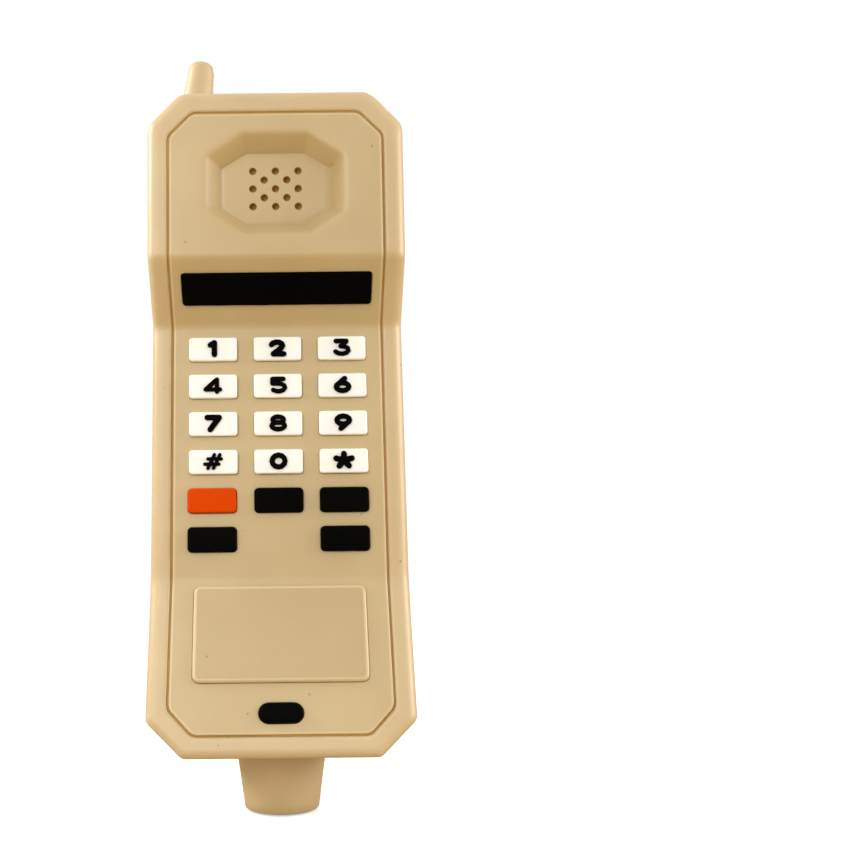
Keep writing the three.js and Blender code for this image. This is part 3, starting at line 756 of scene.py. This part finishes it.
def dish_profile():
    """(share from rim to floor, depth, corner radius) of the earpiece dish, soft at its rim."""
    profile = []
    for k in range(7):
        t = k / 6
        share = (1 - t) ** 2 * -0.38 + t ** 2 * 0.14
        profile.append((share, DISH_DEPTH * 0.14 * t ** 2, 2.4 - 0.9 * t))
    profile += [(0.5, DISH_DEPTH * 0.5, 1.2), (0.8, DISH_DEPTH * 0.8, 0.8)]
    profile += [(0.97, DISH_DEPTH * 0.97, 0.5), (1.0, DISH_DEPTH + 0.06, 0.5), (1.06, DISH_DEPTH, 0.5)]
    return profile


def hole_rings(parts, x, z):
    """One small blind hole in the dish floor. Returns its mouth."""
    profile = [(HOLE_RADIUS + 0.14, 0.0)]
    profile += [(HOLE_RADIUS + inset, drop) for inset, drop in quarter_turn(0.1, 3)]
    profile += [(HOLE_RADIUS - 0.03, HOLE_DEPTH)]
    rings = []
    for radius, drop in profile:
        flat = [Vector((x + p.x, z + p.y)) for p in circle(radius, 20)]
        rings.append(parts.ring([front_point(p.x, p.y, DISH_DEPTH + drop) for p in flat], flat))
    parts.chain(rings[:3])
    # The hole's walls and floor take the second material, painted shade.
    parts.chain(rings[2:], 1)
    parts.cap(rings[-1], 1)
    return rings[0]


def dish_rings(parts):
    """The earpiece dish with its holes. Returns its rim."""
    rim, floor = dish_corners(DISH_RIM), dish_corners(DISH_FLOOR)
    counts = side_counts(rim, 0.9)
    rings = []
    for share, depth, radius in dish_profile():
        flat = rounded_loop(blend_corners(rim, floor, share), radius, 6, counts)
        rings.append(parts.ring([front_point(p.x, p.y, depth) for p in flat], flat))
    parts.chain(rings)
    mouths = []
    for row in range(-2, 3):
        for column in (-1, 0, 1) if row % 2 == 0 else (-0.5, 0.5):
            mouths.append(hole_rings(parts, column * HOLE_PITCH_X, DISH_Z + row * HOLE_PITCH_Z / 2))
    columns = spread(-DISH_FLOOR[0] / 2, DISH_FLOOR[0] / 2, 0.9)
    rows = spread(DISH_Z - DISH_FLOOR[1] / 2, DISH_Z + DISH_FLOOR[1] / 2, 0.9)
    parts.fill([rings[-1], *mouths], columns, rows, lambda x, z: front_point(x, z, DISH_DEPTH))
    return rings[0]


def insert_place(node, spec, out):
    """Where an insert's face meets the front, from its CAD solid's box and its outward direction."""
    low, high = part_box(node)
    return (low + high) / 2 / MM - out * ((spec["proud"] - spec["inset"]) / 2)


def face_out(z):
    slope = height_and_slope(z, FRONT_POINTS, FRONT_SOFTNESS)[1]
    return Vector((0, -1, slope)).normalized()


NUMBER_KEYS = ["1", "2", "3", "4", "5", "6", "7", "8", "9", "hash", "0", "star"]
PLAIN_KEYS = ["orange_key", "black_key_1", "black_key_2", "black_key_3", "black_key_4"]
INLAYS = {"display_strip": DISPLAY, "lower_pad": LOWER_PAD, "mic_pad": MIC_PAD}


def inserts():
    """Every insert in the face: its node, its sizes and the depth of its pocket."""
    found = [(f"key_{n}", WHITE_KEY, KEY_POCKET_DEPTH) for n in NUMBER_KEYS]
    found += [(n, PLAIN_KEY, KEY_POCKET_DEPTH) for n in PLAIN_KEYS]
    return found + [(n, spec, INLAY_POCKET_DEPTH) for n, spec in INLAYS.items()]


def insert_origin(node, spec):
    low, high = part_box(node)
    return insert_place(node, spec, face_out((low.z + high.z) / 2 / MM))


def make_plate():
    parts = Pieces()
    plate = plate_corners()
    rings = [front_ring(parts, plate, PLATE_CORNER_RADIUS, PLATE_THICKNESS)]
    under = rings[0]
    for inset, drop in reversed(quarter_turn(PLATE_EDGE_RADIUS, 5)):
        corners = inset_corners(plate, inset)
        rings.append(front_ring(parts, corners, PLATE_CORNER_RADIUS - 0.4 * inset, drop))
    inner = PLATE_EDGE_RADIUS + 0.12
    rings.append(front_ring(parts, inset_corners(plate, inner), PLATE_CORNER_RADIUS - inner, 0.0))
    parts.chain(rings[:2])
    # The plate's rounded edge takes the third material, a painted highlight.
    parts.chain(rings[1:], 2)
    mouths = [dish_rings(parts)]
    for node, spec, depth in inserts():
        origin = insert_origin(node, spec)
        mouths.append(pocket_on_front(parts, origin.x, origin.z, spec, depth))
    columns = spread(-PLATE_HALF_WIDTH, PLATE_HALF_WIDTH, 1.0)
    rows = rows_with_folds(PLATE_BOTTOM, PLATE_TOP, 1.0, FRONT_POINTS, FRONT_SOFTNESS)
    parts.fill([rings[-1], *mouths], columns, rows, front_point)
    bulge = dish_back(parts, PLATE_THICKNESS, 0.0)
    parts.fill([under, bulge], columns, rows, lambda x, z: front_point(x, z, PLATE_THICKNESS))
    plate_piece = parts.to_object("face_moulding", [PLATE_BEIGE, HOLE_PAINTED_SHADE, EDGE_PAINTED_HIGHLIGHT])
    return finish_piece(plate_piece, HANDSET, "silicone_beige", "face_plate")


def make_bond():
    """The line of adhesive at the bottom of the groove, with a slightly hollow top."""
    parts = Pieces()
    near, far = 0.02, GROOVE_WIDTH - 0.02
    section = [(near, BOND_DEPTH + BOND_HEIGHT), (near, BOND_DEPTH), (GROOVE_WIDTH / 2, BOND_DEPTH + 0.05)]
    section += [(far, BOND_DEPTH), (far, BOND_DEPTH + BOND_HEIGHT)]
    rings = []
    for grow, depth in section:
        rings.append(front_ring(parts, plate_corners(grow), PLATE_CORNER_RADIUS + grow, depth))
    parts.chain(rings + rings[:1])
    return finish_piece(parts.to_object("bond_bead", [BOND_BROWN]), HANDSET, "bond", "bond_line")


# ---------- keys and inlays ----------
def insert_matrix(node, spec):
    """Local X runs to the right, Y up the face and Z out of it."""
    low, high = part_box(node)
    out = face_out((low.z + high.z) / 2 / MM)
    right = Vector((1, 0, 0))
    turn = Matrix((right, out.cross(right), out)).transposed().to_4x4()
    return Matrix.Translation(insert_place(node, spec, out)) @ turn


def wobble(point, seed, amount):
    """A smooth random shift of an outline point, as on a soft moulding's edge."""
    at = Vector((point.x * 0.45, point.y * 0.45, seed * 7.3))
    return Vector((noise.noise(at), noise.noise(at + Vector((0, 0, 3.1))))) * amount


def make_insert(name, node, spec, material, body, slot, uneven, highlight_material=None):
    """A block with softened edges let into the face, its outline uneven by up to that many mm."""
    parts = Pieces()
    corners = rectangle(spec["width"] - 2 * uneven, spec["height"] - 2 * uneven)
    counts = side_counts(corners, 0.7)
    seed = sum(map(ord, node)) % 97
    profile = [(0.0, -spec["inset"]), (0.0, 0.0)]
    profile += [(inset, spec["proud"] - drop) for inset, drop in reversed(quarter_turn(spec["edge"], 5))]
    profile.append((spec["edge"] + 0.1, spec["proud"]))
    rings = []
    corner = min(spec["corner"], spec["height"] / 2 - uneven - 0.01)
    for inset, z in profile:
        flat = rounded_loop(inset_corners(corners, inset), max(corner - inset, 0.12), 6, counts)
        flat = [p + wobble(p, seed, uneven) for p in flat]
        rings.append(parts.ring([Vector((p.x, p.y, z)) for p in flat], flat))
    parts.chain(rings[:2])
    # A highlight material, where given, is a painted highlight on the sides and the rounded top edge.
    parts.chain(rings[1:], 1 if highlight_material else 0)
    parts.cap(rings[0])
    half_x, half_y = spec["width"] / 2, spec["height"] / 2

    def top(x, y):
        swell = (1 - (x / half_x) ** 4) * (1 - (y / half_y) ** 2)
        return Vector((x, y, spec["proud"] + spec["crown"] * swell * 0.5))

    parts.fill([rings[-1]], spread(-half_x, half_x, 0.8), spread(-half_y, half_y, 0.6), top)
    materials = [material, highlight_material] if highlight_material else [material]
    piece = parts.to_object(name, materials, insert_matrix(node, spec))
    return finish_piece(piece, body, slot, node)


def make_character(name):
    """The raised character of a key: its CAD solid made fine and softened at its edges."""
    source = frame["nodes"][f"legend_{name}"].data.copy()
    source.transform(Matrix.Scale(1 / MM, 4))
    piece = bpy.data.objects.new(f"character_{name}", source)
    bpy.context.scene.collection.objects.link(piece)
    remesh = piece.modifiers.new("fine", "REMESH")
    remesh.mode = "VOXEL"
    remesh.voxel_size = CHARACTER_VOXEL
    remesh.use_smooth_shade = True
    smooth = piece.modifiers.new("soft", "SMOOTH")
    smooth.factor = 0.5
    smooth.iterations = 5
    swell = piece.modifiers.new("bold", "DISPLACE")
    swell.mid_level = 0.0
    swell.strength = CHARACTER_SWELL
    bpy.context.view_layer.update()
    graph = bpy.context.evaluated_depsgraph_get()
    mesh = bpy.data.meshes.new_from_object(piece.evaluated_get(graph))
    piece.modifiers.clear()
    mesh.transform(Matrix.Scale(MM, 4))
    mesh.materials.clear()
    mesh.materials.append(BLACK)
    piece.data = mesh
    return finish_piece(piece, f"button_{name}", "silicone_black", f"legend_{name}")


def make_keys():
    for name in NUMBER_KEYS:
        body = f"button_{name}"
        make_insert(f"number_{name}", f"key_{name}", WHITE_KEY, WHITE, body, "silicone_white", 0.02)
        make_character(name)
    for node in PLAIN_KEYS:
        orange = node == "orange_key"
        body = "button_" + node.replace("_key", "")
        slot = "silicone_orange" if orange else "silicone_black"
        make_insert(f"plain_{node}", node, PLAIN_KEY, ORANGE if orange else BLACK, body, slot, 0.05)


def make_inlays():
    for node, spec in INLAYS.items():
        beige = node == "lower_pad"
        material = PAD_BEIGE if beige else BLACK
        slot = "silicone_beige" if beige else "silicone_black"
        # The lower pad's sides and bevel get a painted highlight.
        edge = EDGE_PAINTED_HIGHLIGHT if beige else None
        make_insert(f"{node}_inlay", node, spec, material, HANDSET, slot, 0.02 if beige else 0.06, edge)


# ---------- mouthpiece and antenna ----------
def end_face_z(y):
    """Height of the body's sloping bottom face."""
    front_y, back_y = FRONT_POINTS[0][1], BACK_POINTS[0][1]
    return BODY_BOTTOM + (y - front_y) * RISE_AT_BOTTOM / (back_y - front_y)


def make_mouthpiece():
    """A tapered tube with a rounded tip and a small fillet where it leaves the body."""
    parts = Pieces()
    tip_z = AIRWAY_END.z
    taper = (MOUTH_RADIUS_TOP - MOUTH_RADIUS_TIP) / (MOUTH_TOP_Z - tip_z - MOUTH_ROUND)
    slant = (AIRWAY_TOP - AIRWAY_END) / (AIRWAY_TOP.z - AIRWAY_END.z)
    sides = 96

    def outer(radius_extra, below):
        ring = []
        for p in circle(1.0, sides):
            level = end_face_z(AIRWAY_END.y + p.y * MOUTH_RADIUS_TOP) - below
            radius = MOUTH_RADIUS_TIP + taper * (level - tip_z) + radius_extra
            ring.append(Vector((p.x * radius, AIRWAY_END.y + p.y * radius, level)))
        return parts.ring(ring)

    def flat_ring(radius, z, centre_y):
        return parts.ring([Vector((p.x, p.y + centre_y, z)) for p in circle(radius, sides)])

    rings = [outer(0.45, -0.3), outer(0.45, 0.0), outer(0.2, 0.15), outer(0.05, 0.35), outer(0.0, 0.6)]
    for k in range(1, 8):
        z = MOUTH_LEVEL_Z + (tip_z + MOUTH_ROUND - MOUTH_LEVEL_Z) * k / 7
        rings.append(flat_ring(MOUTH_RADIUS_TIP + taper * (z - tip_z), z, AIRWAY_END.y))
    for k in range(1, 9):
        angle = math.pi / 2 * k / 8
        radius = MOUTH_RADIUS_TIP - MOUTH_ROUND * (1 - math.cos(angle))
        rings.append(flat_ring(radius, tip_z + MOUTH_ROUND * (1 - math.sin(angle)), AIRWAY_END.y))
    rings.append(flat_ring(AIRWAY_RADIUS + 0.5, tip_z, AIRWAY_END.y))
    for inset, drop in quarter_turn(0.4, 4):
        rings.append(flat_ring(AIRWAY_RADIUS + inset, tip_z + drop, AIRWAY_END.y))
    for z in MOUTH_BORE_Z:
        rings.append(flat_ring(AIRWAY_RADIUS, z, AIRWAY_END.y + slant.y * (z - tip_z)))
    parts.chain(rings + rings[:1])
    piece = parts.to_object("mouthpiece_tube", [SHELL_BEIGE_PAINTED_LIGHTER])
    return finish_piece(piece, HANDSET, "silicone_beige", "mouthpiece")


def make_antenna():
    """A short leaning peg with a rounded tip."""
    parts = Pieces()
    sides = 64
    shoulder = ANTENNA_LENGTH - ANTENNA_ROUND
    profile = [(ANTENNA_ROOT, 0.0)]
    for k in range(1, 9):
        share = k / 8
        profile.append((ANTENNA_ROOT + (ANTENNA_TIP - ANTENNA_ROOT) * share, shoulder * share))
    for k in range(1, 9):
        angle = math.pi / 2 * k / 8
        flat = ANTENNA_TIP - ANTENNA_ROUND
        profile.append((flat + ANTENNA_ROUND * math.cos(angle), shoulder + ANTENNA_ROUND * math.sin(angle)))
    rings = [parts.ring(circle(radius, sides, z)) for radius, z in profile]
    parts.chain(rings)
    parts.cap(rings[0])
    parts.cap(rings[-1])
    place = Matrix.Translation(ANTENNA_BASE) @ Matrix.Rotation(ANTENNA_LEAN, 4, "Y")
    piece = parts.to_object("antenna_peg", [SHELL_BEIGE_PAINTED_LIGHTER], place)
    return finish_piece(piece, HANDSET, "silicone_beige", "antenna_stub")


# ---------- glass bowl ----------
def bowl_profile():
    """(radius, height) from the inner floor, up the cup, over the ring and flange, and down to the base."""
    top = FLANGE_PROUD
    floor = top - BOWL_DEPTH
    base = floor - BOWL_BASE
    under = top - FLANGE_THICKNESS
    return [
        (6.95, floor), (7.45, floor + 0.12), (7.9, floor + 0.8), (8.6, floor + 4.0), (9.2, floor + 7.2),
        (9.45, top - 3.0), (9.7, top - 2.0), (10.2, top - 1.1), (10.9, top - 0.35), (11.6, top - 0.06),
        (12.2, top - 0.2), (12.7, top - 0.6), (12.95, top - 0.85), (13.3, top - 0.88), (14.3, top - 0.78),
        (14.75, top - 0.72), (14.95, top - 0.95),
        (FLANGE_RADIUS, under + 0.7), (14.8, under + 0.2), (14.3, under), (13.3, under), (12.8, under + 0.3),
        (12.2, under + 1.05), (11.6, under + 1.45), (11.1, under + 1.0), (10.6, under - 0.2),
        (10.2, under - 2.4), (9.5, base + 4.2), (8.75, base + 1.4), (8.35, base + 0.5),
        (7.7, base + 0.08), (7.1, base),
    ]


def smooth_profile(control, parts_each):
    """A Catmull-Rom curve through the control points, evenly spaced in its parameter."""
    points = [Vector(c) for c in control]
    extended = [2 * points[0] - points[1], *points, 2 * points[-1] - points[-2]]
    result = []
    for a, b, c, d in zip(extended, extended[1:], extended[2:], extended[3:]):
        for k in range(parts_each):
            t = k / parts_each
            result.append(
                0.5 * (2 * b + (c - a) * t + (2 * a - 5 * b + 4 * c - d) * t ** 2
                       + (3 * b - a - 3 * c + d) * t ** 3))
    return result + [points[-1]]


def rippled_circle(before, here, after):
    """One ring of the bowl, pushed in by up to BOWL_RIPPLE to give the long ripples of pressed glass."""
    along = (after - before).normalized()
    inward = Vector((-along.y, along.x))
    ring = []
    for p in circle(1.0, BOWL_SIDES):
        at = Vector((here.x * 2.1, here.y * 2.1, 0)) + Vector((p.x * 0.4, p.y * 0.4, 1.5 * p.x))
        push = (0.5 + 0.5 * noise.noise(at)) * BOWL_RIPPLE
        spot = here + inward * push
        ring.append(Vector((p.x * spot.x, p.y * spot.x, spot.y)))
    return ring


def make_bowl():
    parts = Pieces()
    top = FLANGE_PROUD
    floor, base = top - BOWL_DEPTH, top - BOWL_DEPTH - BOWL_BASE
    profile = smooth_profile(bowl_profile(), 3)
    rings = [parts.ring(circle(profile[0].x, BOWL_SIDES, profile[0].y))]
    rings += [parts.ring(rippled_circle(*three)) for three in zip(profile, profile[1:], profile[2:])]
    rings.append(parts.ring(circle(profile[-1].x, BOWL_SIDES, profile[-1].y)))
    parts.chain(rings)
    upper, lower = [], []
    for column in (-1, 0, 1):
        for row in (-1, 0, 1):
            centre = Vector((column * BOWL_HOLE_PITCH, row * BOWL_HOLE_PITCH))
            edge = quarter_turn(BOWL_HOLE_EDGE, 4)
            section = [(BOWL_HOLE_MOUTH, floor)] + [(inset, floor - drop) for inset, drop in edge]
            section += [(0.0, (floor + base) / 2)]
            section += [(inset, base + drop) for inset, drop in reversed(edge)] + [(BOWL_HOLE_MOUTH, base)]
            loops = []
            for grow, z in section:
                around = circle(BOWL_HOLE_RADIUS + grow, 20)
                loops.append(parts.ring([Vector((p.x + centre.x, p.y + centre.y, z)) for p in around]))
            parts.chain(loops)
            upper.append(loops[0])
            lower.append(loops[-1])
    grid = spread(-7.0, 7.0, 0.9)
    parts.fill([rings[0], *upper], grid, grid, lambda x, y: Vector((x, y, floor)))
    parts.fill([rings[-1], *lower], grid, grid, lambda x, y: Vector((x, y, base)))
    piece = parts.to_object("bowl_of_glass", [GLASS], bowl_matrix())
    return finish_piece(piece, "bowl", "bowl_glass", "glass_bowl")


# ---------- stage, lights and camera ----------
CAMERA_DISTANCE = 0.185
CAMERA_BELOW = math.radians(6)
CAMERA_ROLL = math.radians(-0.62)
CAMERA_LENS = 45.2
CAMERA_SHIFT = 0.178
DOME_TOP = (0.2, -0.96, 0.2)
DOME_LEVELS = (0.4, 0.88)
FLOOR_BOUNCE = (0.5, 0.39, 0.24)
# Each light: name, place, the point it faces, size in metres, watts and colour.
LIGHTS = [
    ("key_light", (-0.14, -0.3, 0.1), (0, 0, 0.035), 0.16, 0.36, (1.0, 0.985, 0.96)),
    ("left_edge_light", (-0.4, 0.03, 0.24), (0, 0, 0.02), 0.2, 1.6, (1.0, 0.99, 0.98)),
    ("right_edge_light", (0.4, -0.06, 0.1), (0, 0, 0), 0.2, 0.9, (1.0, 0.99, 0.98)),
    ("back_light", (0.15, 0.5, 0.35), (0, 0, 0.02), 0.08, 0.9, (1.0, 0.97, 0.9)),
]


def make_camera():
    data = bpy.data.cameras.new("camera")
    data.lens = CAMERA_LENS
    data.shift_x = CAMERA_SHIFT
    data.clip_start = 0.01
    camera = bpy.data.objects.new("camera", data)
    away = Vector((0, -math.cos(CAMERA_BELOW), -math.sin(CAMERA_BELOW)))
    camera.location = away * CAMERA_DISTANCE
    turn = (-away).to_track_quat("-Z", "Y").to_matrix() @ Matrix.Rotation(CAMERA_ROLL, 3, "Z")
    camera.rotation_euler = turn.to_euler()
    bpy.context.scene.collection.objects.link(camera)
    bpy.context.scene.camera = camera


def make_light(name, place, aim, size, watts, colour):
    data = bpy.data.lights.new(name, "AREA")
    data.shape = "DISK"
    data.size = size
    data.energy = watts
    data.color = colour
    light = bpy.data.objects.new(name, data)
    light.location = place
    light.rotation_euler = (Vector(aim) - Vector(place)).to_track_quat("-Z", "Y").to_euler()
    light.visible_camera = False
    bpy.context.scene.collection.objects.link(light)


def make_world():
    """A soft dome, brightest in front and a little above, seen as plain white behind the object."""
    world = bpy.data.worlds.new("studio")
    world.use_nodes = True
    nodes, links = world.node_tree.nodes, world.node_tree.links
    light = nodes["Background"]
    light.inputs["Color"].default_value = (1.0, 0.985, 0.965, 1)
    direction = nodes.new("ShaderNodeTexCoord")
    facing = nodes.new("ShaderNodeVectorMath")
    facing.operation = "DOT_PRODUCT"
    facing.inputs[1].default_value = DOME_TOP
    links.new(direction.outputs["Generated"], facing.inputs[0])
    strength = nodes.new("ShaderNodeMapRange")
    strength.inputs["From Min"].default_value = -1.0
    strength.inputs["To Min"].default_value = DOME_LEVELS[0]
    strength.inputs["To Max"].default_value = DOME_LEVELS[1]
    links.new(facing.outputs["Value"], strength.inputs["Value"])
    links.new(strength.outputs["Result"], light.inputs["Strength"])
    seen = nodes.new("ShaderNodeBackground")
    seen.inputs["Color"].default_value = (1, 1, 1, 1)
    seen.inputs["Strength"].default_value = 1.05
    mix_for_camera(nodes, links, light.outputs["Background"], seen.outputs["Background"],
                   nodes["World Output"].inputs["Surface"])
    bpy.context.scene.world = world


def mix_for_camera(nodes, links, lighting, seen, output):
    """Lets the stage light the object with one shader and be seen as another."""
    path = nodes.new("ShaderNodeLightPath")
    choose = nodes.new("ShaderNodeMixShader")
    links.new(path.outputs["Is Camera Ray"], choose.inputs[0])
    links.new(lighting, choose.inputs[1])
    links.new(seen, choose.inputs[2])
    links.new(choose.outputs["Shader"], output)


def make_floor():
    """A pale floor that bounces warm light up and is seen nearly white, with a faint shadow."""
    material, nodes, links, bounce = new_material("studio_floor")
    bounce.inputs["Base Color"].default_value = (*FLOOR_BOUNCE, 1)
    bounce.inputs["Roughness"].default_value = 0.9
    paper = nodes.new("ShaderNodeBsdfDiffuse")
    paper.inputs["Color"].default_value = (0.8, 0.8, 0.8, 1)
    glow = nodes.new("ShaderNodeEmission")
    glow.inputs["Strength"].default_value = 0.5
    together = nodes.new("ShaderNodeAddShader")
    links.new(paper.outputs["BSDF"], together.inputs[0])
    links.new(glow.outputs["Emission"], together.inputs[1])
    mix_for_camera(nodes, links, bounce.outputs["BSDF"], together.outputs["Shader"],
                   nodes["Material Output"].inputs["Surface"])
    mesh = bpy.data.meshes.new("studio_floor")
    work = bmesh.new()
    bmesh.ops.create_circle(work, cap_ends=True, segments=96, radius=3.0)
    work.to_mesh(mesh)
    work.free()
    mesh.materials.append(material)
    floor = bpy.data.objects.new("studio_floor", mesh)
    floor.location.z = cad_low.z - 0.0003
    bpy.context.scene.collection.objects.link(floor)


def make_studio():
    make_camera()
    make_world()
    make_floor()
    for light in LIGHTS:
        make_light(*light)
    bpy.context.scene.view_settings.view_transform = "Standard"


# ---------- build ----------
make_studio()
make_shell()
make_plate()
make_bond()
make_inlays()
make_keys()
make_mouthpiece()
make_antenna()
make_bowl()
